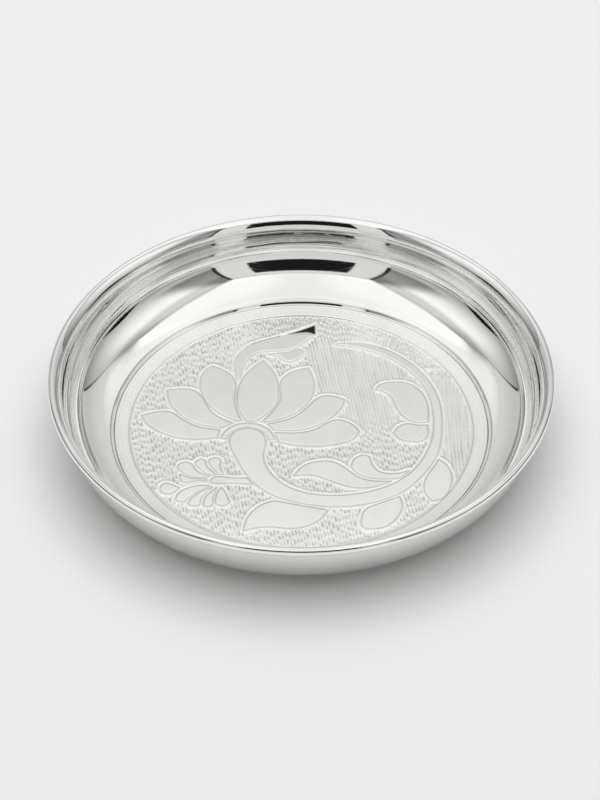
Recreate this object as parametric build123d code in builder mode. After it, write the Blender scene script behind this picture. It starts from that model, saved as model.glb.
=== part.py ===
"""Puja thali: a round silver offering dish, spun from one sheet, with a wired rim and an engraved lotus."""

import os
from math import acos, cos, degrees, radians, sin

from build123d import *

# Driving dimensions, in millimetres and degrees.

# Outer size of the dish, over its rolled rim and from the table to the top of the rim.
RIM_DIAMETER = 180.0
HEIGHT = 27.5

# Silver sheet that the dish is spun from, and the inside radius of its sharp bends.
SHEET = 0.8
BEND_RADIUS = 0.35

# Round wire that the rim is rolled over, the room around it and the gap between its butted ends.
WIRE_DIAMETER = 1.3
WIRE_CLEARANCE = 0.05
WIRE_BUTT_GAP = 0.3

# Flared lip below the rolled rim: its radius, how far it leans away from upright where the roll begins, and
# the gap that the rolled edge of the sheet leaves under it.
LIP_RADIUS = 5.6
LIP_TURN = 58.0
EDGE_GAP = 0.05

# Rounded wall: the radius of its cove, which rises until it passes into the lip, and the slope with which the
# cove leaves the step.
COVE_RADIUS = 17.3
COVE_SLOPE = 4.0

# Pressed step between the flat floor and the cove.
STEP_RISE = 1.6
STEP_ANGLE = 50.0

# Plain polished ring around the engraved medallion, and how deep the medallion's ground is sunk.
PLAIN_RING = 5.5
ENGRAVING_DEPTH = 0.25

# The wedge cut at the tip of the bud leaf, measured from the polished surface.
WEDGE_DEPTH = 0.45

# Engraved figures of the lotus spray, as shares of the medallion radius, seen from above.
# Each figure lies between two strokes, which run from its root to its tip.
PETAL_SHARES = {
    "centre": (
        [(-0.318, 0.066), (-0.366, 0.17), (-0.378, 0.26), (-0.37, 0.36), (-0.33, 0.47), (-0.227, 0.60)],
        [
            (-0.268, 0.064), (-0.153, 0.205), (-0.134, 0.30), (-0.139, 0.40), (-0.172, 0.51),
            (-0.227, 0.60),
        ],
    ),
    "right_inner": (
        [
            (-0.222, 0.066), (-0.137, 0.205), (-0.118, 0.30), (-0.12, 0.408), (-0.045, 0.50),
            (0.043, 0.528),
        ],
        [(-0.196, 0.058), (-0.058, 0.118), (0.038, 0.225), (0.075, 0.36), (0.072, 0.43), (0.043, 0.528)],
    ),
    "right_middle": (
        [
            (-0.192, 0.038), (-0.049, 0.095), (0.056, 0.211), (0.115, 0.274), (0.215, 0.271),
            (0.254, 0.252),
        ],
        [(-0.158, -0.01), (-0.05, -0.018), (0.102, 0.033), (0.193, 0.117), (0.244, 0.21), (0.254, 0.252)],
    ),
    "right_low": (
        [
            (-0.15, -0.034), (-0.05, -0.041), (0.108, 0.009), (0.195, 0.07), (0.295, 0.037),
            (0.336, -0.018),
        ],
        [
            (-0.13, -0.113), (-0.05, -0.138), (0.04, -0.15), (0.215, -0.129), (0.325, -0.058),
            (0.336, -0.018),
        ],
    ),
    "left_inner": (
        [
            (-0.378, 0.066), (-0.508, 0.163), (-0.591, 0.33), (-0.597, 0.42), (-0.578, 0.495),
            (-0.533, 0.548),
        ],
        [
            (-0.352, 0.072), (-0.395, 0.265), (-0.388, 0.36), (-0.395, 0.42), (-0.458, 0.507),
            (-0.533, 0.548),
        ],
    ),
    "left_middle": (
        [
            (-0.468, 0.01), (-0.60, 0.039), (-0.713, 0.127), (-0.757, 0.195), (-0.781, 0.26),
            (-0.792, 0.332),
        ],
        [
            (-0.402, 0.046), (-0.525, 0.14), (-0.606, 0.303), (-0.64, 0.332), (-0.74, 0.341),
            (-0.792, 0.332),
        ],
    ),
    "left_low": (
        [
            (-0.49, -0.078), (-0.62, -0.089), (-0.71, -0.078), (-0.853, -0.006), (-0.90, 0.043),
            (-0.935, 0.113),
        ],
        [
            (-0.478, -0.012), (-0.603, 0.015), (-0.723, 0.104), (-0.758, 0.136), (-0.86, 0.138),
            (-0.935, 0.113),
        ],
    ),
}
STEM_SHARES = {
    "stem": (
        [
            (-0.312, 0.003), (-0.375, -0.018), (-0.413, -0.075), (-0.39, -0.205), (-0.315, -0.386),
            (-0.188, -0.538), (0.003, -0.628), (0.227, -0.654), (0.403, -0.623), (0.576, -0.533),
            (0.705, -0.384), (0.786, -0.224), (0.822, 0.0), (0.81, 0.257), (0.722, 0.481),
            (0.562, 0.653), (0.402, 0.729), (0.23, 0.75),
        ],
        [
            (-0.312, 0.003), (-0.25, -0.018), (-0.212, -0.075), (-0.22, -0.21), (-0.181, -0.368),
            (-0.095, -0.477), (0.047, -0.549), (0.244, -0.563), (0.458, -0.507), (0.615, -0.393),
            (0.713, -0.238), (0.766, -0.066), (0.777, 0.13), (0.75, 0.311), (0.657, 0.495),
            (0.491, 0.648), (0.327, 0.72), (0.23, 0.738),
        ],
    ),
}
LEAF_SHARES = {
    "bud": (
        [
            (-0.38, 0.44), (-0.397, 0.55), (-0.358, 0.683), (-0.312, 0.738), (-0.225, 0.793),
            (-0.13, 0.828), (-0.05, 0.842), (0.068, 0.832),
        ],
        [
            (-0.364, 0.44), (-0.342, 0.535), (-0.29, 0.653), (-0.243, 0.681), (-0.10, 0.692),
            (-0.022, 0.715), (0.005, 0.773), (0.068, 0.832),
        ],
    ),
    "bud_curl": (
        [(-0.142, 0.66), (-0.10, 0.661), (-0.028, 0.668)],
        [
            (-0.142, 0.66), (-0.107, 0.612), (-0.083, 0.601), (-0.057, 0.606), (-0.037, 0.628),
            (-0.028, 0.668),
        ],
    ),
    "upper_right": (
        [
            (0.742, 0.06), (0.697, 0.053), (0.63, 0.079), (0.566, 0.175), (0.548, 0.238),
            (0.522, 0.296), (0.487, 0.326), (0.443, 0.342),
        ],
        [
            (0.742, 0.06), (0.747, 0.165), (0.713, 0.309), (0.629, 0.393), (0.567, 0.405),
            (0.503, 0.397), (0.462, 0.375), (0.443, 0.342),
        ],
    ),
    "lower_right": (
        [(0.738, 0.03), (0.697, 0.025), (0.648, 0.037), (0.603, 0.036), (0.565, 0.008), (0.542, -0.035)],
        [
            (0.738, 0.03), (0.724, -0.08), (0.702, -0.101), (0.648, -0.109), (0.587, -0.094),
            (0.542, -0.035),
        ],
    ),
    "low": (
        [
            (0.515, -0.446), (0.387, -0.439), (0.319, -0.403), (0.245, -0.326), (0.162, -0.279),
            (0.099, -0.283), (0.036, -0.303), (-0.04, -0.398),
        ],
        [
            (0.515, -0.446), (0.45, -0.477), (0.388, -0.497), (0.324, -0.498), (0.198, -0.454),
            (0.133, -0.419), (0.068, -0.394), (-0.04, -0.398),
        ],
    ),
    "curled": (
        [
            (0.572, -0.415), (0.486, -0.425), (0.37, -0.405), (0.298, -0.337), (0.294, -0.30),
            (0.31, -0.259), (0.371, -0.229), (0.397, -0.243),
        ],
        [
            (0.622, -0.358), (0.545, -0.384), (0.497, -0.383), (0.452, -0.367), (0.42, -0.327),
            (0.397, -0.243),
        ],
    ),
    "bottom": (
        [
            (-0.15, -0.61), (-0.205, -0.63), (-0.253, -0.667), (-0.291, -0.719), (-0.316, -0.783),
            (-0.325, -0.848),
        ],
        [
            (0.15, -0.686), (0.103, -0.759), (0.056, -0.797), (-0.065, -0.831), (-0.13, -0.823),
            (-0.195, -0.817), (-0.325, -0.848),
        ],
    ),
    "bottom_right": (
        [(0.383, -0.663), (0.355, -0.704), (0.344, -0.76), (0.349, -0.808), (0.37, -0.833)],
        [
            (0.562, -0.574), (0.574, -0.61), (0.569, -0.677), (0.545, -0.74), (0.451, -0.826),
            (0.37, -0.833),
        ],
    ),
    "right_edge": (
        [
            (0.748, -0.605), (0.724, -0.565), (0.707, -0.508), (0.73, -0.394), (0.768, -0.325),
            (0.796, -0.262),
        ],
        [
            (0.748, -0.605), (0.795, -0.59), (0.857, -0.478), (0.867, -0.42), (0.831, -0.297),
            (0.796, -0.262),
        ],
    ),
}
FERN_SHARES = {
    "rib": (
        [(-0.312, -0.419), (-0.405, -0.419), (-0.468, -0.41), (-0.504, -0.418), (-0.52, -0.437)],
        [(-0.278, -0.47), (-0.37, -0.461), (-0.454, -0.461), (-0.504, -0.454), (-0.52, -0.437)],
    ),
    "upper_lobe_1": (
        [(-0.472, -0.388), (-0.503, -0.345), (-0.526, -0.298), (-0.531, -0.268), (-0.493, -0.25)],
        [(-0.45, -0.39), (-0.463, -0.345), (-0.47, -0.295), (-0.47, -0.262), (-0.493, -0.25)],
    ),
    "upper_lobe_2": (
        [(-0.512, -0.395), (-0.552, -0.371), (-0.588, -0.335), (-0.61, -0.289), (-0.583, -0.26)],
        [(-0.492, -0.392), (-0.527, -0.348), (-0.552, -0.30), (-0.558, -0.272), (-0.583, -0.26)],
    ),
    "upper_lobe_3": (
        [
            (-0.548, -0.412), (-0.615, -0.408), (-0.692, -0.36), (-0.711, -0.325), (-0.695, -0.297),
            (-0.655, -0.29),
        ],
        [(-0.53, -0.404), (-0.57, -0.385), (-0.612, -0.346), (-0.636, -0.302), (-0.655, -0.29)],
    ),
    "upper_lobe_4": (
        [(-0.545, -0.44), (-0.615, -0.443), (-0.683, -0.446), (-0.694, -0.42), (-0.697, -0.388)],
        [(-0.545, -0.428), (-0.62, -0.424), (-0.665, -0.408), (-0.697, -0.388)],
    ),
    "lower_lobe_0": (
        [(-0.70, -0.50), (-0.745, -0.475), (-0.788, -0.467), (-0.806, -0.492), (-0.795, -0.538)],
        [(-0.70, -0.50), (-0.725, -0.527), (-0.752, -0.549), (-0.795, -0.538)],
    ),
    "lower_lobe_1": (
        [(-0.528, -0.485), (-0.60, -0.487), (-0.665, -0.513), (-0.707, -0.555), (-0.718, -0.594)],
        [
            (-0.528, -0.485), (-0.565, -0.508), (-0.613, -0.545), (-0.648, -0.588), (-0.685, -0.615),
            (-0.718, -0.594),
        ],
    ),
    "lower_lobe_2": (
        [
            (-0.51, -0.495), (-0.553, -0.519), (-0.602, -0.558), (-0.634, -0.602), (-0.642, -0.632),
            (-0.622, -0.645),
        ],
        [
            (-0.51, -0.495), (-0.527, -0.515), (-0.561, -0.562), (-0.578, -0.608), (-0.588, -0.642),
            (-0.622, -0.645),
        ],
    ),
    "lower_lobe_3": (
        [
            (-0.486, -0.497), (-0.514, -0.533), (-0.545, -0.575), (-0.556, -0.62), (-0.552, -0.645),
            (-0.527, -0.655),
        ],
        [(-0.486, -0.497), (-0.493, -0.535), (-0.505, -0.585), (-0.508, -0.63), (-0.527, -0.655)],
    ),
    "lower_lobe_4": (
        [(-0.46, -0.498), (-0.478, -0.54), (-0.489, -0.59), (-0.487, -0.625), (-0.445, -0.645)],
        [(-0.46, -0.498), (-0.432, -0.545), (-0.42, -0.585), (-0.412, -0.62), (-0.445, -0.645)],
    ),
}
FIGURE_SHARES = PETAL_SHARES | STEM_SHARES | LEAF_SHARES | FERN_SHARES

# Calyx: a band between two arcs around the head of the stem.
CALYX_CENTRE_SHARES = (-0.312, -0.112)
CALYX_OUTER_SHARE = 0.158
CALYX_INNER_SHARE = 0.127
CALYX_START = 8.0
CALYX_SWEEP = 160.0

# Wedge cut into the ground at the tip of the bud leaf.
WEDGE_SHARES = (
    [(-0.10, 0.852), (-0.03, 0.88), (0.015, 0.90), (0.074, 0.927)],
    [(-0.10, 0.852), (0.0, 0.862), (0.08, 0.858)],
)

# Worked out from the driving dimensions.
wire_radius = WIRE_DIAMETER / 2
roll_radius = wire_radius + WIRE_CLEARANCE + SHEET
roll_centre_radius = RIM_DIAMETER / 2 - roll_radius
roll_centre_height = HEIGHT - roll_radius
roll_offset = LIP_RADIUS - roll_radius
edge_reach = LIP_RADIUS - SHEET - EDGE_GAP
edge_share = (roll_radius**2 + roll_offset**2 - edge_reach**2) / (2 * roll_radius * roll_offset)
roll_turn = 180 + degrees(acos(edge_share))

lip = radians(LIP_TURN)
slope = radians(COVE_SLOPE)
step = radians(STEP_ANGLE)
roll_start_radius = roll_centre_radius - roll_radius * cos(lip)
roll_start_height = roll_centre_height + roll_radius * sin(lip)
wall_rise = roll_start_height - SHEET - STEP_RISE
wall_share = (COVE_RADIUS * cos(slope) + LIP_RADIUS * sin(lip) - wall_rise) / (COVE_RADIUS + LIP_RADIUS)
wall = acos(wall_share)
lip_run = LIP_RADIUS * (sin(wall) - cos(lip))
cove_run = COVE_RADIUS * (sin(wall) - sin(slope))
cove_start_radius = roll_start_radius - lip_run - cove_run

shoulder_radius = BEND_RADIUS + SHEET
shoulder_rise = shoulder_radius * (cos(slope) - cos(step))
shoulder_run = shoulder_radius * (sin(step) - sin(slope))
riser_length = (STEP_RISE - BEND_RADIUS * (1 - cos(step)) - shoulder_rise) / sin(step)
floor_radius = cove_start_radius - shoulder_run - riser_length * cos(step) - BEND_RADIUS * sin(step)
medallion_radius = floor_radius - PLAIN_RING

calyx_x_share, calyx_y_share = CALYX_CENTRE_SHARES
calyx_centre = (calyx_x_share * medallion_radius, calyx_y_share * medallion_radius)
calyx_outer_radius = CALYX_OUTER_SHARE * medallion_radius
calyx_inner_radius = CALYX_INNER_SHARE * medallion_radius


def sheet_face(depth):
    """Draws one face of the sheet, depth below its upper face, from the axis to the rolled edge."""
    floor = Line((0, SHEET - depth), (floor_radius, SHEET - depth))
    foot = JernArc(floor @ 1, floor % 1, BEND_RADIUS + depth, STEP_ANGLE)
    riser = PolarLine(foot @ 1, riser_length, direction=foot % 1)
    shoulder = JernArc(riser @ 1, riser % 1, shoulder_radius - depth, COVE_SLOPE - STEP_ANGLE)
    cove = JernArc(shoulder @ 1, shoulder % 1, COVE_RADIUS + depth, degrees(wall) - COVE_SLOPE)
    lip_arc = JernArc(cove @ 1, cove % 1, LIP_RADIUS - depth, 90 - LIP_TURN - degrees(wall))
    roll = JernArc(lip_arc @ 1, lip_arc % 1, roll_radius - depth, -roll_turn)
    return floor @ 0, roll @ 1


def draw_figure(strokes):
    """Draws a figure's outline: a spline along each stroke, with a line where their ends part."""
    first, second = (
        [(x_share * medallion_radius, y_share * medallion_radius) for x_share, y_share in stroke]
        for stroke in strokes
    )
    Spline(*first)
    Spline(*second)
    for end in (0, -1):
        if first[end] != second[end]:
            Line(first[end], second[end])


# The dish: floor, step, rounded wall, lip and rolled rim in one sheet, with the lotus left standing in a
# sunk ground.
with BuildPart() as dish:
    with BuildSketch(Plane.XZ):
        with BuildLine():
            upper_start, upper_end = sheet_face(0)
            lower_start, lower_end = sheet_face(SHEET)
            Line(upper_start, lower_start)
            Line(upper_end, lower_end)
        make_face()
    revolve(axis=Axis.Z)

    with BuildSketch(Plane.XY.offset(SHEET)):
        Circle(medallion_radius)
        for figure_strokes in FIGURE_SHARES.values():
            with BuildLine():
                draw_figure(figure_strokes)
            make_face(mode=Mode.SUBTRACT)
        with BuildLine():
            outer_arc = CenterArc(calyx_centre, calyx_outer_radius, CALYX_START, CALYX_SWEEP)
            inner_arc = CenterArc(calyx_centre, calyx_inner_radius, CALYX_START, CALYX_SWEEP)
            Line(outer_arc @ 0, inner_arc @ 0)
            Line(outer_arc @ 1, inner_arc @ 1)
        make_face(mode=Mode.SUBTRACT)
    extrude(amount=-ENGRAVING_DEPTH, mode=Mode.SUBTRACT)

    with BuildSketch(Plane.XY.offset(SHEET)):
        with BuildLine():
            draw_figure(WEDGE_SHARES)
        make_face()
    extrude(amount=-WEDGE_DEPTH, mode=Mode.SUBTRACT)

# The wire inside the rolled rim: a ring bent from round wire, with butted ends at the back of the dish.
butt_angle = degrees(WIRE_BUTT_GAP / roll_centre_radius)
with BuildPart() as rim_wire:
    with BuildSketch(Plane.XZ.rotated((0, 0, 90 + butt_angle / 2))):
        with Locations((roll_centre_radius, roll_centre_height)):
            Circle(wire_radius)
    revolve(axis=Axis.Z, revolution_arc=360 - butt_angle)

os.makedirs("parts", exist_ok=True)
dish.part.label = "dish"
export_step(dish.part, "parts/dish.step")
rim_wire.part.label = "rim_wire"
export_step(rim_wire.part, "parts/rim_wire.step")
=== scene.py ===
"""Puja thali: a small silver offering dish, spun from one sheet, with a lotus spray engraved in it."""
import math
from functools import reduce

import bpy
import numpy as np
from bpy.props import FloatProperty, FloatVectorProperty, PointerProperty
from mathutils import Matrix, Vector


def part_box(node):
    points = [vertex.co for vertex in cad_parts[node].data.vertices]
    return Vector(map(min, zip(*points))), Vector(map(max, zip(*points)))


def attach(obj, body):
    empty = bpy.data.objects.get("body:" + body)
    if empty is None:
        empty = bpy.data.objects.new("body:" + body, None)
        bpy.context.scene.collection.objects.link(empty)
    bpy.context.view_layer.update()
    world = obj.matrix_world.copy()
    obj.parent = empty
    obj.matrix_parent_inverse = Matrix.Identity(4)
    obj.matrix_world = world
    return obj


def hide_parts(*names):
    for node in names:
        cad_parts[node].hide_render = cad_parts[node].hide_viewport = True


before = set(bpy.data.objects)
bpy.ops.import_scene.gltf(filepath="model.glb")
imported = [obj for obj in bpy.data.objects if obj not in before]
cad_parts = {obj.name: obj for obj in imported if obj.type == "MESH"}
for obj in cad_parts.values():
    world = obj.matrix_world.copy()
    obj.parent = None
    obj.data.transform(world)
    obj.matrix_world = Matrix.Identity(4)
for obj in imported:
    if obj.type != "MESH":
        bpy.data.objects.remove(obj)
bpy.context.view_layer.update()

bl_info = {
    "name": "Puja thali",
    "version": (1, 0, 0),
    "blender": (4, 5, 0),
    "location": "View3D > Sidebar > Thali",
    "description": "A spun silver dish with an engraved lotus spray, on a pale studio floor",
    "category": "Object",
}

MM = 0.001
DISH_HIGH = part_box("dish")[1]

# The step and all the creases around the floor lie below this height.
STEP_TOP = 4.0 * MM

# How the engraved floor lies in the spun sheet: slabs in a shallow recess, which tuck under its edge.
RECESS_MARGIN = 0.25 * MM
RECESS_BED = 0.30 * MM
SLAB_BOTTOM = 0.31 * MM
SLAB_LAP = 0.05 * MM
SLAB_TUCK = 0.01 * MM

# The bands of the engraved floor: how far each runs on past its slice, how far from the edge the outermost
# row stays, and how far the middle band's first and last rows dip under its neighbours.
BAND_OVERLAPS = {"front": 0.005 * MM, "middle": 0.3 * MM, "back": 0.005 * MM}
BAND_END = 0.02 * MM
MIDDLE_DIPS = np.array([[0.03], [0.001], [0.001], [0.03]]) * MM
BAND_ROWS, BAND_COLUMNS = 164, 490
TURNED_SEGMENTS = 360

# The floor and the lamp.
FLOOR_RADII = (0.3, 1.0, 3.0, 8.0)
FLOOR_THICKNESS = 0.01
FLOOR_SEGMENTS = 96
LAMP_BACK, LAMP_HEIGHT, LAMP_SIZE = 0.18, 1.6, 2.3

# The light tent, in half-widths: how far its back wall, its front wall and its ceiling are. The back wall
# folds into the ceiling at a slope of sight. A dark place loses a share of its light.
TENT_BACK, TENT_FRONT, TENT_CEILING = 0.78, 1.19, 1.8
BACK_FOLD_SLOPE = 1.28
FRONT_LEVEL, LOW_END_LEVEL, BACKDROP_LEVEL = 0.72, 0.66, 0.865
DARK_SHARE = 0.985

# The picture: its size and the place of the rim's middle on it, in pixels, and that point's real height.
PICTURE_WIDTH, PICTURE_HEIGHT = 600.0, 800.0
RIM_MIDDLE = (301.6, 375.8)
RIM_MIDDLE_HEIGHT = 26.1 * MM
SENSOR_WIDTH = 36.0

# Engraved figures of the lotus spray, in thousandths of the medallion radius, seen from above.
# Each figure lies between two strokes, which run from its root to its tip.
PETALS = {
    "centre": (
        [(-318, 66), (-366, 170), (-378, 260), (-370, 360), (-330, 470), (-227, 600)],
        [(-268, 64), (-153, 205), (-134, 300), (-139, 400), (-172, 510), (-227, 600)],
    ),
    "right_inner": (
        [(-222, 66), (-137, 205), (-118, 300), (-120, 408), (-45, 500), (43, 528)],
        [(-196, 58), (-58, 118), (38, 225), (75, 360), (72, 430), (43, 528)],
    ),
    "right_middle": (
        [(-192, 38), (-49, 95), (56, 211), (115, 274), (215, 271), (254, 252)],
        [(-158, -10), (-50, -18), (102, 33), (193, 117), (244, 210), (254, 252)],
    ),
    "right_low": (
        [(-150, -34), (-50, -41), (108, 9), (195, 70), (295, 37), (336, -18)],
        [(-130, -113), (-50, -138), (40, -150), (215, -129), (325, -58), (336, -18)],
    ),
    "left_inner": (
        [(-378, 66), (-508, 163), (-591, 330), (-597, 420), (-578, 495), (-533, 548)],
        [(-352, 72), (-395, 265), (-388, 360), (-395, 420), (-458, 507), (-533, 548)],
    ),
    "left_middle": (
        [(-468, 10), (-600, 39), (-713, 127), (-757, 195), (-781, 260), (-792, 332)],
        [(-402, 46), (-525, 140), (-606, 303), (-640, 332), (-740, 341), (-792, 332)],
    ),
    "left_low": (
        [(-490, -78), (-620, -89), (-710, -78), (-853, -6), (-900, 43), (-935, 113)],
        [(-478, -12), (-603, 15), (-723, 104), (-758, 136), (-860, 138), (-935, 113)],
    ),
}
STEM = {
    "stem": (
        [
            (-312, 3), (-375, -18), (-413, -75), (-390, -205), (-315, -386), (-188, -538), (3, -628),
            (227, -654), (403, -623), (576, -533), (705, -384), (786, -224), (822, 0), (810, 257),
            (722, 481), (562, 660), (402, 742), (300, 755), (210, 748),
        ],
        [
            (-312, 3), (-250, -18), (-212, -75), (-220, -210), (-181, -368), (-95, -477), (47, -549),
            (244, -563), (458, -507), (615, -393), (713, -238), (766, -66), (777, 130), (750, 311),
            (657, 495), (491, 648), (327, 718), (210, 744),
        ],
    ),
}
LEAVES = {
    "bud": (
        [
            (-380, 440), (-395, 550), (-387, 625), (-355, 682), (-303, 739), (-205, 787), (-105, 828),
            (-5, 874), (83, 925),
        ],
        [
            (-364, 440), (-348, 550), (-305, 635), (-255, 672), (-130, 689), (-55, 707), (-13, 735),
            (33, 783), (73, 832), (84, 885), (83, 925),
        ],
    ),
    "bud_curl": (
        [(-190, 655), (-127, 663), (-57, 680), (-18, 700), (8, 690)],
        [
            (-190, 655), (-150, 645), (-118, 620), (-100, 600), (-82, 590), (-55, 592), (-22, 612),
            (0, 645), (8, 690),
        ],
    ),
    "upper_right": (
        [(742, 60), (697, 53), (630, 79), (566, 175), (548, 238), (522, 296), (487, 326), (443, 342)],
        [(742, 60), (747, 165), (713, 309), (629, 393), (567, 405), (503, 397), (462, 375), (443, 342)],
    ),
    "lower_right": (
        [(738, 30), (697, 25), (648, 37), (603, 36), (565, 8), (542, -35)],
        [(738, 30), (724, -80), (702, -101), (648, -109), (587, -94), (542, -35)],
    ),
    "low": (
        [
            (515, -446), (387, -439), (319, -403), (245, -326), (162, -279), (99, -283), (36, -303),
            (-40, -398),
        ],
        [
            (515, -446), (450, -477), (388, -497), (324, -498), (198, -454), (133, -419), (68, -394),
            (-40, -398),
        ],
    ),
    "curled": (
        [
            (572, -415), (486, -425), (370, -405), (298, -337), (294, -300), (310, -259), (371, -229),
            (397, -243),
        ],
        [(622, -358), (545, -384), (497, -383), (452, -367), (420, -327), (397, -243)],
    ),
    "bottom": (
        [(-150, -610), (-205, -630), (-253, -667), (-291, -719), (-316, -783), (-325, -848)],
        [(150, -686), (103, -759), (56, -797), (-65, -831), (-130, -823), (-195, -817), (-325, -848)],
    ),
    "bottom_right": (
        [(383, -663), (355, -704), (344, -760), (349, -808), (370, -833)],
        [(562, -574), (574, -610), (569, -677), (545, -740), (451, -826), (370, -833)],
    ),
    "right_edge": (
        [(748, -605), (724, -565), (707, -508), (730, -394), (768, -325), (796, -262)],
        [(748, -605), (795, -590), (857, -478), (867, -420), (831, -297), (796, -262)],
    ),
}
FERN = {
    "rib": (
        [(-312, -419), (-405, -419), (-468, -410), (-504, -418), (-520, -437)],
        [(-278, -470), (-370, -461), (-454, -461), (-504, -454), (-520, -437)],
    ),
    "upper_lobe_1": (
        [(-472, -388), (-503, -345), (-526, -298), (-531, -268), (-493, -250)],
        [(-450, -390), (-463, -345), (-470, -295), (-470, -262), (-493, -250)],
    ),
    "upper_lobe_2": (
        [(-512, -395), (-552, -371), (-588, -335), (-610, -289), (-583, -260)],
        [(-492, -392), (-527, -348), (-552, -300), (-558, -272), (-583, -260)],
    ),
    "upper_lobe_3": (
        [(-548, -412), (-615, -408), (-692, -360), (-711, -325), (-695, -297), (-655, -290)],
        [(-530, -404), (-570, -385), (-612, -346), (-636, -302), (-655, -290)],
    ),
    "upper_lobe_4": (
        [(-545, -440), (-615, -443), (-683, -446), (-694, -420), (-697, -388)],
        [(-545, -428), (-620, -424), (-665, -408), (-697, -388)],
    ),
    "lower_lobe_0": (
        [(-700, -500), (-745, -475), (-788, -467), (-806, -492), (-795, -538)],
        [(-700, -500), (-725, -527), (-752, -549), (-795, -538)],
    ),
    "lower_lobe_1": (
        [(-528, -485), (-600, -487), (-665, -513), (-707, -555), (-718, -594)],
        [(-528, -485), (-565, -508), (-613, -545), (-648, -588), (-685, -615), (-718, -594)],
    ),
    "lower_lobe_2": (
        [(-510, -495), (-553, -519), (-602, -558), (-634, -602), (-642, -632), (-622, -645)],
        [(-510, -495), (-527, -515), (-561, -562), (-578, -608), (-588, -642), (-622, -645)],
    ),
    "lower_lobe_3": (
        [(-486, -497), (-514, -533), (-545, -575), (-556, -620), (-552, -645), (-527, -655)],
        [(-486, -497), (-493, -535), (-505, -585), (-508, -630), (-527, -655)],
    ),
    "lower_lobe_4": (
        [(-460, -498), (-478, -540), (-489, -590), (-487, -625), (-445, -645)],
        [(-460, -498), (-432, -545), (-420, -585), (-412, -620), (-445, -645)],
    ),
}

# Calyx: a band between two arcs around the head of the stem, in the same thousandths and in degrees.
CALYX_CENTRE = (-312, -112)
CALYX_OUTER, CALYX_INNER = 158, 127
CALYX_START, CALYX_END = 8.0, 168.0

# Wedge cut into the tip of the bud leaf.
WEDGE = (
    [(-130, 818), (-50, 853), (20, 887), (81, 922)],
    [(-130, 818), (-60, 838), (10, 853), (50, 852), (85, 832)],
)


# Settings

def length_setting(name, description, default, least=0.0):
    """A length in metres."""
    return FloatProperty(
        name=name, description=description, default=default, min=least, unit="LENGTH", subtype="DISTANCE",
    )


def angle_setting(name, description, degrees, least=0.0, most=90.0):
    """An angle. Its default and its limits are given in degrees."""
    return FloatProperty(
        name=name, description=description, default=math.radians(degrees),
        min=math.radians(least), max=math.radians(most), unit="ROTATION", subtype="ANGLE",
    )


def share_setting(name, description, default, most=1.0):
    """A share of one."""
    return FloatProperty(
        name=name, description=description, default=default, min=0.0, max=most, subtype="FACTOR",
    )


def colour_setting(name, description, default):
    """A colour in linear light."""
    return FloatVectorProperty(
        name=name, description=description, default=default, size=3, min=0.0, max=1.0, subtype="COLOR",
    )


class DishSizes(bpy.types.PropertyGroup):
    """Sizes of the spun sheet."""

    rim_radius: length_setting(
        "Rim radius", "Outer radius over the rolled rim", float(DISH_HIGH[0]), 50.0 * MM,
    )
    height: length_setting(
        "Height", "Height from the underside to the top of the rolled rim", float(DISH_HIGH[2]), 10.0 * MM,
    )
    sheet: length_setting("Sheet", "Thickness of the silver sheet", 0.8 * MM, 0.2 * MM)
    roll_radius: length_setting(
        "Roll radius", "Outer radius of the roll around the rim wire", 1.5 * MM, 0.5 * MM,
    )
    # Angle of the painted shade line round the roll, above the roll's outermost point.
    roll_shade_angle: angle_setting(
        "Roll mark", "Where the burnisher's line runs, as an angle above the roll's outermost point", 39.0,
    )
    edge_gap: length_setting(
        "Edge gap", "Gap between the sheet's raw edge and the lip that it is rolled against", 0.05 * MM,
    )
    lip_radius: length_setting("Lip radius", "Radius of the flared lip, on the inside", 5.6 * MM, 1.0 * MM)
    lip_turn: angle_setting(
        "Lip turn", "How far the lip leans outwards before it passes into the roll", 58.0,
    )
    cove_radius: length_setting(
        "Cove radius", "Radius of the hollow wall, on the inside", 17.3 * MM, 1.0 * MM,
    )
    cove_slope: angle_setting("Cove slope", "Slope at which the hollow wall starts", 4.0, most=45.0)
    step_rise: length_setting(
        "Step rise", "Height of the step pressed around the floor", 1.6 * MM, 0.2 * MM,
    )
    step_angle: angle_setting("Step angle", "Slope of the step", 50.0, least=6.0)
    bend_radius: length_setting(
        "Bend radius", "Inside radius of the bends at the step", 0.35 * MM, 0.05 * MM,
    )
    ring_start: angle_setting(
        "Ring start", "Slope at which the plain ring leaves the medallion", 3.5, most=28.0,
    )
    ring_slope: angle_setting(
        "Ring slope", "Slope to which the plain ring rises by the foot of the step", 8.0, 0.5, 28.0,
    )
    plain_ring: length_setting(
        "Plain ring", "Width of the plain ring around the engraved medallion", 5.5 * MM,
    )


class EngravingSizes(bpy.types.PropertyGroup):
    """Sizes of the engraver's cuts."""

    outline_width: length_setting(
        "Outline width", "Width of the sloping bank around each figure", 0.95 * MM, 0.2 * MM,
    )
    outline_depth: length_setting(
        "Outline depth", "Depth of the line around each figure, and height of its bank",
        0.11 * MM, 0.02 * MM,
    )
    hatch_pitch: length_setting(
        "Hatch pitch", "Distance between the columns of strokes in the ground", 1.26 * MM, 0.3 * MM,
    )
    hatch_length: length_setting(
        "Hatch length", "Mean length of the strokes in the ground", 3.7 * MM, 0.5 * MM,
    )
    hatch_lean: angle_setting("Hatch lean", "How far the strokes lean to the left", 9.5, -45.0, 45.0)
    hatch_depth: length_setting("Hatch depth", "Depth of the strokes in the ground", 0.26 * MM, 0.02 * MM)
    ridge_ripple: length_setting(
        "Ridge ripple", "Rise and fall of the ridges between the strokes", 0.035 * MM,
    )
    wedge_depth: length_setting(
        "Wedge depth", "Depth of the wedge at the tip of the bud", 0.45 * MM, 0.1 * MM,
    )


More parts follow.
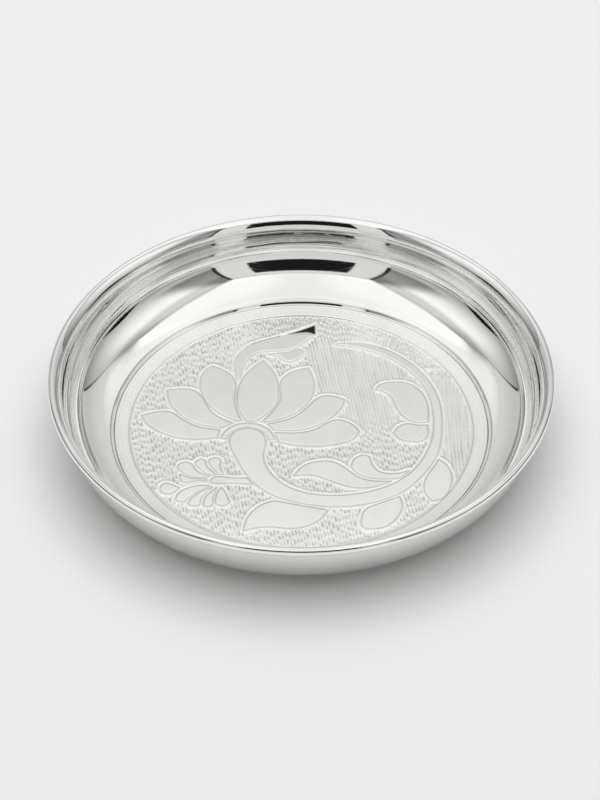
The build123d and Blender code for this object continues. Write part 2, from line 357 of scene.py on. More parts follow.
class SilverFinish(bpy.types.PropertyGroup):
    """Colours and polish of the silver."""

    silver: colour_setting("Silver", "Colour of clean silver", (0.945, 0.948, 0.925))
    tarnish: colour_setting(
        "Tarnish", "Colour of the film where silver has begun to dull", (0.835, 0.835, 0.82),
    )
    oxide: colour_setting("Oxide", "Colour of the black in the deepest cuts", (0.03, 0.029, 0.028))
    # The cut colour is tarnish and painted shade in the engraved lines and strokes.
    cut: colour_setting(
        "Cut", "Colour of the shallow cuts, where a little tarnish is left", (0.50, 0.50, 0.48),
    )
    # Painted shade: laid into the creases of the step, the line round the roll and the outside under the
    # rim.
    crease_shade: colour_setting(
        "Crease", "Colour of the tarnish left in the creases of the spun sheet", (0.16, 0.16, 0.155),
    )
    frost: share_setting(
        "Frost", "Share of white frost left on the engraved ground and the plain ring", 0.18, 0.6,
    )
    polish: share_setting("Polish", "Roughness of the buffed sheet", 0.035)
    satin: share_setting("Satin", "Roughness of the engraved ground", 0.21)


class StageLook(bpy.types.PropertyGroup):
    """Floor, light tent and camera."""

    floor_colour: colour_setting("Floor colour", "Colour of the pale floor", (0.93, 0.93, 0.93))
    tent_level: FloatProperty(
        name="Tent level", description="Brightness of the whole tent", default=1.0, min=0.0, soft_max=2.0,
    )
    tent_share: share_setting("Tent share", "Share of the tent's light that reaches matte surfaces", 0.62)
    lamp_power: FloatProperty(
        name="Lamp power", description="Power of the soft lamp above the dish",
        default=19.6, min=0.0, unit="POWER",
    )
    camera_distance: length_setting(
        "Camera distance", "Distance from the camera to the middle of the rim", 1.2, 0.2,
    )
    camera_height: angle_setting("Camera angle", "Angle of the camera above the horizon", 41.9)
    focal_pixels: FloatProperty(
        name="Focal length in pixels", description="Focal length on a picture 600 pixels wide",
        default=3375.0, min=100.0,
    )


class ThaliSettings(bpy.types.PropertyGroup):
    """All settings of the thali and its stage."""

    dish: PointerProperty(type=DishSizes)
    engraving: PointerProperty(type=EngravingSizes)
    finish: PointerProperty(type=SilverFinish)
    stage: PointerProperty(type=StageLook)


# Shapes

def eased(value, low, high):
    """0 below low and 1 above high, with an S-shaped cubic between them."""
    share = np.clip((value - low) / (high - low), 0.0, 1.0)
    return share * share * (3.0 - 2.0 * share)


def new_piece(name, points, *face_sets, flat=()):
    """A mesh object from points and arrays of corner numbers, one row for each face.

    Its faces are smooth, apart from those of the sets whose places are listed as flat.
    """
    corners = np.concatenate([faces.ravel() for faces in face_sets]).astype(np.int32)
    counts = np.concatenate([np.full(len(faces), faces.shape[1]) for faces in face_sets])
    starts = np.concatenate([[0], np.cumsum(counts)[:-1]]).astype(np.int32)
    mesh = bpy.data.meshes.new(name)
    mesh.vertices.add(len(points))
    mesh.vertices.foreach_set("co", np.ascontiguousarray(points, dtype=np.float32).ravel())
    mesh.loops.add(len(corners))
    mesh.loops.foreach_set("vertex_index", corners)
    mesh.polygons.add(len(counts))
    mesh.polygons.foreach_set("loop_start", starts)
    smooth = [np.full(len(faces), place not in flat) for place, faces in enumerate(face_sets)]
    mesh.polygons.foreach_set("use_smooth", np.concatenate(smooth))
    mesh.update(calc_edges=True)
    if mesh.validate():
        raise RuntimeError(f"{name}: its faces don't fit together")
    piece = bpy.data.objects.new(name, mesh)
    bpy.context.scene.collection.objects.link(piece)
    return piece


def tangent_chain(start, heading, runs):
    """A line in the radius and height plane, made of runs that leave as the one before them ended.

    A run is (radius, turn, steps), where a turn to the left is positive: its points lie one radius from a
    centre that lies one radius to that side. Where the turn is None, the run is straight and its first
    number is its length.
    """
    chain = [np.array([start])]
    for radius, turn, steps in runs:
        place = chain[-1][-1]
        if turn is None:
            share = np.linspace(0.0, radius, steps + 1)[1:, None]
            chain.append(place + share * np.array([math.cos(heading), math.sin(heading)]))
            continue
        side = math.copysign(1.0, turn)
        centre = place + side * radius * np.array([-math.sin(heading), math.cos(heading)])
        angle = heading - side * math.pi / 2 + np.linspace(0.0, turn, steps + 1)[1:]
        chain.append(centre + radius * np.stack([np.cos(angle), np.sin(angle)], axis=1))
        heading += turn
    return np.concatenate(chain)


def sheet_turns(dish):
    """The radii and angles of the sheet's section that follow from the dish's sizes.

    The wall's angle is the one at which the cove, starting at its slope, and the lip, ending at its turn,
    together climb from the step to the roll. The roll ends where its raw edge meets the lip.
    """
    offset = dish.lip_radius - dish.roll_radius
    reach = dish.lip_radius - dish.sheet - dish.edge_gap
    edge = (dish.roll_radius**2 + offset**2 - reach**2) / (2 * dish.roll_radius * offset)
    roll_turn = math.pi + math.acos(edge)
    roll_radius = dish.rim_radius - dish.roll_radius * (1 + math.cos(dish.lip_turn))
    roll_height = dish.height - dish.roll_radius * (1 - math.sin(dish.lip_turn))
    climb = roll_height - dish.sheet - dish.step_rise
    cove_part = dish.cove_radius * math.cos(dish.cove_slope)
    lip_part = dish.lip_radius * math.sin(dish.lip_turn)
    wall = math.acos((cove_part + lip_part - climb) / (dish.cove_radius + dish.lip_radius))
    lip_run = dish.lip_radius * (math.sin(wall) - math.cos(dish.lip_turn))
    cove_run = dish.cove_radius * (math.sin(wall) - math.sin(dish.cove_slope))
    cove_start = roll_radius - lip_run - cove_run
    shoulder = dish.bend_radius + dish.sheet
    foot_rise = dish.bend_radius * (1 - math.cos(dish.step_angle))
    shoulder_rise = shoulder * (math.cos(dish.cove_slope) - math.cos(dish.step_angle))
    riser = (dish.step_rise - foot_rise - shoulder_rise) / math.sin(dish.step_angle)
    step_run = (
        dish.bend_radius * math.sin(dish.step_angle)
        + riser * math.cos(dish.step_angle)
        + shoulder * (math.sin(dish.step_angle) - math.sin(dish.cove_slope))
    )
    floor_radius = cove_start - step_run
    return {
        "wall": wall,
        "roll_turn": roll_turn,
        "riser": riser,
        "shoulder": shoulder,
        "cove_start": cove_start,
        "floor_radius": floor_radius,
        "medallion_radius": floor_radius - dish.plain_ring,
        # Where the painted shade line round the roll lies.
        "roll_shade_line": (
            dish.rim_radius - dish.roll_radius * (1 - math.cos(dish.roll_shade_angle)),
            dish.height - dish.roll_radius * (1 - math.sin(dish.roll_shade_angle)),
        ),
    }


def ring_and_riser(dish, turns, start_radius):
    """Length of the dished ring and of the riser on the upper face.

    The ring curves from its first slope to its last, so its chord climbs at the mean of the two. Together
    with the two bends, ring and riser cover the run from the recess to the cove and the rise of the step,
    which gives two equations for the two lengths.
    """
    slope, step, cove = dish.ring_slope, dish.step_angle, dish.cove_slope
    bend, shoulder = dish.bend_radius, turns["shoulder"]
    rise = bend * (math.cos(slope) - math.cos(step)) + shoulder * (math.cos(cove) - math.cos(step))
    run = bend * (math.sin(step) - math.sin(slope)) + shoulder * (math.sin(step) - math.sin(cove))
    chord = (dish.ring_start + slope) / 2
    shares = np.array([[math.tan(chord), math.sin(step)], [1.0, math.cos(step)]])
    return np.linalg.solve(shares, [dish.step_rise - rise, turns["cove_start"] - start_radius - run])


def step_to_rim(dish, turns, depth, slope, riser, steps):
    """The runs of one face of the sheet, depth below the upper one, from the step's foot round the roll."""
    lip_end = math.pi / 2 - dish.lip_turn
    return [
        (dish.bend_radius + depth, dish.step_angle - slope, steps[0]),
        (riser, None, 2),
        (turns["shoulder"] - depth, dish.cove_slope - dish.step_angle, steps[1]),
        (dish.cove_radius + depth, turns["wall"] - dish.cove_slope, steps[2]),
        (dish.lip_radius - depth, lip_end - turns["wall"], steps[3]),
        (dish.roll_radius - depth, -turns["roll_turn"], steps[4]),
    ]


def sheet_profile(dish, turns, recess, bed):
    """The sheet's section: from the middle of the bed over the step and round the roll to the underside.

    With it comes, for each of its points, whether it lies outside.
    """
    ring, riser = ring_and_riser(dish, turns, recess)
    slope = dish.ring_slope
    upper_runs = step_to_rim(dish, turns, 0.0, slope, riser, (4, 6, 46, 16, 36))
    start = dish.ring_start
    upper_runs.insert(0, (ring / (math.sin(slope) - math.sin(start)), slope - start, 8))
    upper = tangent_chain((recess, dish.sheet), start, upper_runs)
    near_bend = 0.25 * MM
    lower_runs = step_to_rim(dish, turns, dish.sheet, 0.0, turns["riser"], (5, 4, 28, 10, 20))
    lower_runs[:0] = [(turns["floor_radius"] - recess / 2 - near_bend, None, 2), (near_bend, None, 1)]
    lower = tangent_chain((recess / 2, 0.0), 0.0, lower_runs)
    inside = np.array([[0.0, bed], [recess / 2, bed], [recess, bed]])
    profile = np.concatenate([inside, upper, lower[::-1], [[0.0, 0.0]]])
    return profile, np.arange(len(profile)) >= len(inside) + len(upper)


def turned(profile, segments):
    """A profile carried round the axis. Its first and last points lie on the axis and become poles."""
    angle = np.linspace(0.0, 2.0 * math.pi, segments, endpoint=False)
    ring = profile[1:-1]
    points = np.stack([
        ring[:, :1] * np.cos(angle),
        ring[:, :1] * np.sin(angle),
        np.broadcast_to(ring[:, 1:], (len(ring), segments)),
    ], axis=2).reshape(-1, 3)
    points = np.concatenate([points, [[0.0, 0.0, profile[0, 1]], [0.0, 0.0, profile[-1, 1]]]])
    number = np.arange(len(ring) * segments).reshape(len(ring), segments)
    after = np.roll(number, -1, axis=1)
    quads = np.stack([number[:-1], number[1:], after[1:], after[:-1]], axis=2).reshape(-1, 4)
    top = np.full(segments, len(points) - 2)
    under = np.full(segments, len(points) - 1)
    caps = np.concatenate([
        np.stack([top, number[0], after[0]], axis=1),
        np.stack([number[-1], under, after[-1]], axis=1),
    ])
    return points, quads, caps


def smooth_line(points, spacing):
    """A smooth line through points, at an even spacing.

    Between two points it is a cubic of the chord length. The slopes and bends of neighbouring cubics agree
    where they meet, and there is no bend at the two ends.
    """
    points = np.asarray(points, dtype=float)
    steps = np.diff(points, axis=0)
    gaps = np.linalg.norm(steps, axis=1)
    chord = np.concatenate([[0.0], np.cumsum(gaps)])
    inner = np.arange(1, len(points) - 1)
    system = np.eye(len(points))
    system[inner, inner - 1] = gaps[:-1]
    system[inner, inner] = 2.0 * (gaps[:-1] + gaps[1:])
    system[inner, inner + 1] = gaps[1:]
    change = np.zeros_like(points)
    change[inner] = 6.0 * np.diff(steps / gaps[:, None], axis=0)
    bends = np.linalg.solve(system, change)
    place = np.linspace(0.0, chord[-1], max(8, math.ceil(chord[-1] / spacing)) + 1)
    stretch = np.clip(np.searchsorted(chord, place, side="right") - 1, 0, len(gaps) - 1)
    gap = gaps[stretch][:, None]
    behind = (place - chord[stretch])[:, None]
    ahead = gap - behind
    cubic = (bends[stretch] * ahead**3 + bends[stretch + 1] * behind**3) / (6.0 * gap)
    straight_ahead = (points[stretch] / gap - bends[stretch] * gap / 6.0) * ahead
    straight_behind = (points[stretch + 1] / gap - bends[stretch + 1] * gap / 6.0) * behind
    return cubic + straight_ahead + straight_behind


def figure_outline(strokes, radius):
    """A closed outline: out along a figure's first stroke and back along its second."""
    spacing = 0.5 * MM
    out, back = (smooth_line(np.array(stroke) / 1000 * radius, spacing) for stroke in strokes)
    return np.concatenate([out, back[::-1]])


def calyx_outline(radius):
    """The outline of the calyx: out along its outer arc and back along its inner one."""
    angle = np.radians(np.linspace(CALYX_START, CALYX_END, 60))
    arc = np.stack([np.cos(angle), np.sin(angle)], axis=1)
    ring = np.concatenate([CALYX_OUTER * arc, CALYX_INNER * arc[::-1]])
    return (np.array(CALYX_CENTRE) + ring) / 1000 * radius


def distance_to(outline, x, y):
    """Distance of points from a closed outline, negative inside it.

    The distance is the shortest one to any of its edges. A point is inside where a ray to its right crosses
    the outline an odd number of times.
    """
    start = outline.astype(np.float32)
    edge = np.roll(start, -1, axis=0) - start
    length = np.maximum((edge**2).sum(axis=1), 1e-14)
    far = np.empty(len(x), dtype=np.float32)
    for block in np.array_split(np.arange(len(x)), max(1, len(x) * len(start) // 4_000_000)):
        across = x[block, None].astype(np.float32) - start[:, 0]
        up = y[block, None].astype(np.float32) - start[:, 1]
        share = np.clip((across * edge[:, 0] + up * edge[:, 1]) / length, 0.0, 1.0)
        gap = (across - share * edge[:, 0]) ** 2 + (up - share * edge[:, 1]) ** 2
        rise = np.where(edge[:, 1] == 0.0, np.float32(1.0), edge[:, 1])
        passes = (up >= 0.0) != (up - edge[:, 1] >= 0.0)
        crossed = passes & (across < up * edge[:, 0] / rise)
        inside = crossed.sum(axis=1) % 2 == 1
        far[block] = np.sqrt(gap.min(axis=1)) * np.where(inside, -1.0, 1.0)
    return far


def distance_to_figures(outlines, x, y, reach):
    """Distance from the nearest of several outlines, negative inside one, and at most reach."""
    nearest = np.full(len(x), reach)
    for outline in outlines:
        low = outline.min(axis=0) - reach
        high = outline.max(axis=0) + reach
        near = np.flatnonzero((x > low[0]) & (x < high[0]) & (y > low[1]) & (y < high[1]))
        nearest[near] = np.minimum(nearest[near], distance_to(outline, x[near], y[near]))
    return nearest


def chance(column, row, salt):
    """A steady share between 0 and 1 for each stroke: the fraction of a large multiple of a sine."""
    return np.modf(np.abs(np.sin(column * 12.9898 + row * 78.233 + salt * 37.719)) * 43758.5453)[0]


def hatching(x, y, room, engraving):
    """Depth of the hatching as a share of its full depth, and the ripple of the ridges between its strokes.

    Strokes follow each other in leaning columns, which stand nearly upright past the stem. Across a column
    a stroke is a rounded valley between rounded ridges. Along it the tool goes in slowly and comes out
    fast, from a shallow line that runs on under all the strokes of the column, and the line sways a
    little. Each stroke has its own strength and each column its own lengths. At the back few strokes are
    strong. On the open side of the spray and beside the stem, but not at the back border, the strokes run
    on as long lines, each with its own slow swell. Towards the edge of the room that is left for them the
    strokes fade, each column at its own distance.
    """
    along_mm = y / MM
    across_mm = x / MM
    past_stem = eased(across_mm, 46.0, 50.0)
    lean = math.tan(engraving.hatch_lean) * (1.0 - 0.85 * past_stem) * y
    slow_sway = 0.10 * np.sin(0.23 * along_mm + 0.07 * across_mm)
    quick_sway = 0.05 * np.sin(0.71 * along_mm - 0.19 * across_mm)
    across = (x + lean) / engraving.hatch_pitch + slow_sway + quick_sway
    column = np.floor(across)
    length = engraving.hatch_length * (0.75 + 0.5 * chance(column, 0.0, 1.0))
    along = -y / length + 7.0 * chance(column, 0.0, 2.0)
    row = np.floor(along)
    share = along - row
    tool = eased(share, 0.0, 0.66) * eased(share, 1.0, 0.80)
    open_side = eased(across_mm, 1.0, 6.0) * eased(along_mm, -3.0, 8.0)
    by_stem = eased(across_mm, 47.0, 51.0) * eased(along_mm, -30.0, -20.0)
    back_border = eased(np.hypot(across_mm, along_mm), 49.0, 51.0) * eased(along_mm, 22.0, 34.0)
    long_lines = np.maximum(open_side, by_stem) * (1.0 - back_border)
    calm = eased(along_mm, -4.0, 24.0)
    strength = 0.25 + 0.75 * chance(column, row, 3.0) ** (0.8 + 0.8 * calm)
    weight = 0.30 - 0.08 * calm + (0.70 + 0.06 * calm) * tool * strength
    swell = 0.12 * np.sin(0.31 * along_mm + 40.0 * chance(column, 0.0, 7.0))
    even = 0.48 + 0.22 * chance(column, 0.0, 6.0) + swell
    weight = weight + (even - weight) * long_lines
    weight = weight * eased(room - 0.9 * MM * chance(column, 0.0, 4.0), -0.1 * MM, 0.4 * MM)
    valley = 0.5 + 0.5 * np.cos(2.0 * math.pi * (across - column - 0.5))
    wave = (2.4 + 1.6 * chance(column, 0.0, 5.0)) * MM
    ripple = np.sin(2.0 * math.pi * y / wave + 19.0 * column)
    return weight * valley**1.3, ripple * (1.0 - valley) * (1.0 - 0.8 * long_lines)


def engraved_height(x, y, radius, engraving):
    """Height of the engraved floor against the plain one, and the shares of ground, cut and crest.

    Around each figure runs a fine line, and from it a bank slopes up to a low crest, past which the
    ground falls again and carries the hatching. At the border the plain floor slopes down to the ground.
    The wedge at the bud's tip is sunk flat, and painted shade darkens the leaf beside it towards the wedge.
    """
    figures = PETALS | STEM | LEAVES | FERN
    outlines = [figure_outline(strokes, radius) for strokes in figures.values()] + [calyx_outline(radius)]
    reach = 4.0 * MM
    away = distance_to_figures(outlines, x, y, reach)
    border = radius - np.hypot(x, y)
    x_mm, y_mm = x / MM, y / MM
    bank = engraving.outline_width
    depth = engraving.outline_depth * (1.0 - 0.5 * eased(y_mm, 8.0, 40.0))
    ground = eased(np.minimum(away - 0.7 * bank, border), 0.0, 0.6 * MM)
    strokes, ripple = hatching(x, y, np.minimum(away - 0.8 * bank, border), engraving)
    places = [-0.20 * MM, 0.08 * MM, bank, 1.3 * bank, 2.2 * bank]
    height = depth * np.interp(away, places, [0.0, -1.0, 1.0, 1.0, 0.0])
    # The crest is where white frost lays a painted highlight line beyond each bank.
    crest = eased(away, 0.30 * MM, 0.55 * MM) * eased(away, 1.35 * MM, 0.95 * MM) * (border > 0.0)
    height = height - 0.6 * depth * eased(border, -0.1 * MM, 0.7 * MM) * eased(away, 0.0, bank)
    height = height - ground * (engraving.hatch_depth * strokes - engraving.ridge_ripple * ripple)
    fine_line = eased(np.abs(away - 0.10 * MM), 0.55 * MM, 0.10 * MM)
    border_line = np.clip(1.0 - np.abs(border) / (0.30 * MM), 0.0, 1.0)
    # Share of cut: tarnish with painted shade in the lines and strokes, fading towards the back.
    cut = np.maximum((0.62 - 0.45 * eased(y_mm, 12.0, 42.0)) * fine_line, 0.30 * border_line)
    # The painted shade in the strokes is stronger at the back left and weaker on the right.
    back_left = eased(y_mm, 5.0, 35.0) * eased(x_mm, 8.0, -2.0)
    right = eased(x_mm, 4.0, 12.0) * eased(y_mm, -14.0, 0.0)
    firm = 1.0 + 0.18 * back_left - 0.4 * right
    cut = np.maximum(cut, ground * eased(strokes * firm, 0.15, 0.95))
    wedge = distance_to_figures([figure_outline(WEDGE, radius)], x, y, reach)
    sunk = 1.0 - eased(wedge, -0.15 * MM, 0.15 * MM)
    # Painted shade on the leaf beside the wedge, darker towards it.
    beside = (away < 0.0) * eased(x_mm, -7.0, 3.0) * eased(y_mm, 48.0, 51.0)
    cut = np.maximum(cut, 0.75 * beside * eased(wedge, 2.2 * MM, 0.0))
    return height * (1.0 - sunk) - engraving.wedge_depth * sunk, ground, cut, crest


def floor_band(low, high, radius, rows, columns, overlap):
    """A grid over the slice of a disc between two heights: every row is split evenly from edge to edge.

    Its first two and last two rows lie past the slice, by the overlap and by half of it.
    """
    past = np.array([overlap, overlap / 2])
    levels = np.concatenate([low - past, np.linspace(low, high, rows), high + past[::-1]])
    y = levels[:, None] * np.ones(columns)
    x = np.sqrt(radius**2 - y**2) * np.linspace(-1.0, 1.0, columns)
    return x, y


def closed_slab(x, y, z, bottom):
    """A grid of heights closed by side walls and a flat underside."""
    rows, columns = x.shape
    number = np.arange(rows * columns).reshape(rows, columns)
    left = rows * columns + np.arange(rows)
    right = left + rows
    under = np.concatenate([
        np.stack([x[:, 0], y[:, 0], np.full(rows, bottom)], axis=1),
        np.stack([x[:, -1], y[:, -1], np.full(rows, bottom)], axis=1),
    ])
    points = np.concatenate([np.stack([x, y, z], axis=2).reshape(-1, 3), under])
    top = np.stack([number[:-1, :-1], number[:-1, 1:], number[1:, 1:], number[1:, :-1]], axis=2)
    sides = np.concatenate([
        np.stack([number[:-1, 0], number[1:, 0], left[1:], left[:-1]], axis=1),
        np.stack([number[:-1, -1], right[:-1], right[1:], number[1:, -1]], axis=1),
        np.stack([left[:-1], left[1:], right[1:], right[:-1]], axis=1),
    ])
    front = np.concatenate([[left[0], right[0]], number[0, ::-1]])[None, :]
    back = np.concatenate([[right[-1], left[-1]], number[-1]])[None, :]
    return points, top.reshape(-1, 4), sides, front, back


# Materials

def math_method(operation, swapped=False):
    """A method that puts a Math node on a value and others, or with the value last."""
    def method(self, *others):
        numbers = (*others, self) if swapped else (self, *others)
        node = self.graph.node("ShaderNodeMath", {"operation": operation}, dict(enumerate(numbers)))
        return Value(self.graph, node.outputs[0])
    return method


class Value:
    """A number in a shader. Arithmetic on it adds Math nodes."""

    def __init__(self, graph, socket):
        self.graph = graph
        self.socket = socket

    __add__ = __radd__ = math_method("ADD")
    __mul__ = __rmul__ = math_method("MULTIPLY")
    __sub__ = math_method("SUBTRACT")
    __rsub__ = math_method("SUBTRACT", swapped=True)
    __truediv__ = math_method("DIVIDE")
    __rtruediv__ = math_method("DIVIDE", swapped=True)
    __pow__ = math_method("POWER")
    __lt__ = math_method("LESS_THAN")
    __gt__ = math_method("GREATER_THAN")
    __abs__ = math_method("ABSOLUTE")
    least = math_method("MINIMUM")
    most = math_method("MAXIMUM")

    def eased(self, low, high):
        """0 at low and 1 at high, with an S-shaped cubic between them."""
        inputs = {"Value": self, "From Min": low, "From Max": high}
        settings = {"interpolation_type": "SMOOTHSTEP"}
        return Value(self.graph, self.graph.node("ShaderNodeMapRange", settings, inputs).outputs[0])


class Graph:
    """The nodes of one material or world."""

    def __init__(self, tree):
        self.tree = tree
        self.tree.nodes.clear()

    def node(self, kind, settings=None, inputs=None):
        """A node of any type: its settings are set first, then its sockets get values or links."""
        node = self.tree.nodes.new(kind)
        for name, value in (settings or {}).items():
            setattr(node, name, value)
        for name, value in (inputs or {}).items():
            if isinstance(value, Value):
                value = value.socket
            if isinstance(value, bpy.types.NodeSocket):
                self.tree.links.new(value, node.inputs[name])
            else:
                node.inputs[name].default_value = value
        return node

    def value(self, socket):
        return Value(self, socket)

    def place(self, kind):
        """Texture coordinates of a kind, as a vector and as three values."""
        vector = self.node("ShaderNodeTexCoord").outputs[kind]
        parts = self.node("ShaderNodeSeparateXYZ", None, {"Vector": vector}).outputs
        return vector, [self.value(part) for part in parts]

    def attribute(self, name):
        return self.value(self.node("ShaderNodeAttribute", {"attribute_name": name}).outputs["Fac"])

    def vector(self, x, y, z):
        return self.node("ShaderNodeCombineXYZ", None, {"X": x, "Y": y, "Z": z}).outputs[0]

    def noise(self, vector, scale, detail):
        inputs = {"Vector": vector, "Scale": scale, "Detail": detail}
        return self.value(self.node("ShaderNodeTexNoise", None, inputs).outputs["Fac"])

    def stretched(self, vector, angle, scale):
        """The vector turned about the axis and scaled, for marks that run one way."""
        inputs = {"Vector": vector, "Rotation": (0.0, 0.0, angle), "Scale": scale}
        return self.node("ShaderNodeMapping", None, inputs).outputs[0]

    def blend(self, share, first, second):
        """A colour between two, by a share."""
        inputs = {"Factor": share, 6: first, 7: second}
        return self.node("ShaderNodeMix", {"data_type": "RGBA"}, inputs).outputs[2]

    def bump(self, height, strength, distance):
        inputs = {"Strength": strength, "Distance": distance, "Height": height}
        return self.node("ShaderNodeBump", None, inputs).outputs[0]

    def surface(self, inputs):
        """The Principled shader with its inputs, and the output."""
        shader = self.node("ShaderNodeBsdfPrincipled", None, inputs)
        self.node("ShaderNodeOutputMaterial", None, {"Surface": shader.outputs[0]})


def opaque(colour):
    """A colour with full alpha."""
    return (*colour, 1.0)


def new_material(name):
    material = bpy.data.materials.new(name)
    material.use_nodes = True
    return material, Graph(material.node_tree)


def strongest(values):
    """The largest of several values."""
    return reduce(Value.most, values)


def hairlines(graph, vector):
    """Fine wiping scratches: noise drawn out in three directions, kept only near its crests."""
    marks = []
    for angle, shift in ((0.35, 1.0), (1.45, 0.8), (2.5, 1.25)):
        drawn = graph.stretched(vector, angle, (36.0 * shift, 2600.0 * shift, 36.0))
        marks.append(graph.noise(drawn, 1.0, 1.0).eased(0.66, 0.74))
    return strongest(marks)


def sheet_crease_shade(turns, radius, y, z, clouds):
    """Share of painted shade in the creases of the sheet's upper face.

    It lies at the foot and the shoulder of the step and in the line round the roll, and it darkens three
    scored lines on the plain ring too. On step and ring it fades towards the back and the front.
    """
    foot, shoulder = turns["floor_radius"], turns["cove_start"]
    lines = []
    for place, width, low, share in (
        (foot + 0.15 * MM, 0.50 * MM, 0.6 * MM, 1.0),
        (shoulder - 0.55 * MM, 0.34 * MM, 1.9 * MM, 0.85),
        (foot - 1.1 * MM, 0.18 * MM, 0.6 * MM, 0.24),
        (foot - 2.6 * MM, 0.18 * MM, 0.6 * MM, 0.08),
        (foot - 4.2 * MM, 0.18 * MM, 0.6 * MM, 0.14),
    ):
        lines.append(abs(radius - place).eased(width, 0.0) * (z > low) * (z < STEP_TOP) * share)
    creases = strongest(lines) * (0.6 + abs(y).eased(52.0 * MM, 30.0 * MM) * 0.4)
    # A painted shade line round the roll, in the crease colour.
    roll_radius, roll_height = turns["roll_shade_line"]
    from_roll_shade_line = ((radius - roll_radius) ** 2 + (z - roll_height) ** 2) ** 0.5
    creases = creases.most(from_roll_shade_line.eased(0.33 * MM, 0.03 * MM) * 0.70)
    return creases * (0.75 + clouds * 0.25)


def spun_silver(finish, turns):
    """Buffed silver sheet: turning marks run round the axis, with faint clouds and wiping scratches.

    Painted shade darkens the creases and a line round the roll. The plain ring keeps a little frost and
    hardly any turning marks, and the face of the step keeps frost too, except at the back. The outside is
    polished less and dulled, and painted shade darkens it more towards the rim. The lip has faint waves.
    """
    material, graph = new_material("spun_silver")
    vector, (x, y, z) = graph.place("Object")
    foot, shoulder = turns["floor_radius"], turns["cove_start"]
    radius = (x * x + y * y) ** 0.5
    turning = graph.noise(graph.vector(radius * 2600.0, z * 2600.0, 0.0), 1.0, 2.0)
    clouds = graph.noise(vector, 55.0, 3.0).eased(0.42, 0.78)
    marks = hairlines(graph, vector)
    outside = graph.attribute("outside")
    ring = radius.eased(foot, foot - 0.5 * MM) * (z > 0.6 * MM)
    step = abs(radius - 0.5 * (foot + shoulder)).eased(0.9 * MM, 0.5 * MM) * (z > 0.9 * MM) * (z < STEP_TOP)
    step = step * y.eased(48.0 * MM, 30.0 * MM)
    lip = z.eased(16.0 * MM, 20.0 * MM) * z.eased(26.2 * MM, 25.0 * MM) * (1.0 - outside)
    waves = graph.noise(vector, 130.0, 1.0) * lip
    # The share held in tarnish is painted shade: the creases, the line round the roll and then the outside
    # towards the rim.
    tarnish = sheet_crease_shade(turns, radius, y, z, clouds)
    tarnish = tarnish.most(outside * z.eased(6.0 * MM, 22.0 * MM) * 0.18)
    film = (clouds * 0.35).most(outside * 0.95)
    dulled = graph.blend(film, opaque(finish.silver), opaque(finish.tarnish))
    wear = clouds * 0.02 + turning * 0.02 + marks * 0.07
    relief = turning * (1.0 - ring * 0.8) + marks * 0.5 + waves * 150.0
    graph.surface({
        "Base Color": graph.blend(tarnish, dulled, opaque(finish.crease_shade)),
        "Metallic": 1.0 - (ring * finish.frost).most(step * 0.4),
        "Roughness": finish.polish + wear + ring * 0.19 + outside * 0.06,
        "Normal": graph.bump(relief, 0.04, 0.00002),
    })
    return material


def engraved_silver(finish, floor_height):
    """Engraved silver: satin in the hatched ground, smoother on the figures, dull in the cuts.

    The share of cut darkens the colour towards the cut colour, tarnish and painted shade together, and the
    deepest cuts turn black. The ground keeps a white frost, raised at the front and the back as painted
    light, and the crests around the figures keep more of it as painted highlight lines.
    """
    material, graph = new_material("engraved_silver")
    vector, (_, y, z) = graph.place("Object")
    ground, cut, crest = (graph.attribute(name) for name in ("ground", "cut", "crest"))
    black = (floor_height - z).eased(0.33 * MM, 0.43 * MM)
    clouds = graph.noise(vector, 90.0, 3.0).eased(0.40, 0.80)
    grain = graph.noise(graph.stretched(vector, 0.12, (2400.0, 160.0, 160.0)), 1.0, 2.0)
    marks = hairlines(graph, vector)
    # Painted light: the ground's frost rises towards the front and the back.
    frost = finish.frost * (0.35 + abs(y + 2.0 * MM).eased(26.0 * MM, 50.0 * MM) * 1.3)
    dulled = graph.blend(clouds * 0.4, opaque(finish.silver), opaque(finish.tarnish))
    cut_tarnish_and_shade = graph.blend(cut * (0.7 + clouds * 0.3), dulled, opaque(finish.cut))
    figure_polish = 0.06
    satin = figure_polish + ground * (finish.satin - figure_polish)
    graph.surface({
        "Base Color": graph.blend(black, cut_tarnish_and_shade, opaque(finish.oxide)),
        # The frost on the crests is a painted highlight line around the figures.
        "Metallic": 1.0 - (ground * frost).most(crest * 0.45),
        "Roughness": satin + grain * 0.04 + marks * 0.05 + black * 0.2,
        "Normal": graph.bump(grain + marks * 0.5, 0.08, 0.00002),
    })
    return material


def drawn_wire(finish):
    """Drawn silver wire: die marks run along it, with dull patches."""
    material, graph = new_material("drawn_wire")
    vector, (x, y, z) = graph.place("Object")
    radius = (x * x + y * y) ** 0.5
    die_marks = graph.noise(graph.vector(radius * 9000.0, z * 9000.0, 0.0), 1.0, 2.0)
    dull = graph.noise(vector, 180.0, 3.0).eased(0.4, 0.7)
    graph.surface({
        "Base Color": graph.blend(dull * 0.6, opaque(finish.silver), opaque(finish.tarnish)),
        "Metallic": 1.0,
        "Roughness": 0.22 + die_marks * 0.15 + dull * 0.1,
        "Normal": graph.bump(die_marks, 0.15, 0.00003),
    })
    return material


def floor_paper(look):
    """Pale matte paper with a faint fibre."""
    material, graph = new_material("floor_paper")
    vector, _ = graph.place("Object")
    fibre = graph.noise(vector, 900.0, 3.0)
    broad = graph.noise(vector, 3.0, 1.0)
    shade = tuple(0.97 * part for part in look.floor_colour)
    graph.surface({
        "Base Color": graph.blend(fibre * 0.3 + broad * 0.3, opaque(look.floor_colour), opaque(shade)),
        "Roughness": 0.8 + fibre * 0.1,
        "Specular IOR Level": 0.0,
    })
    return material


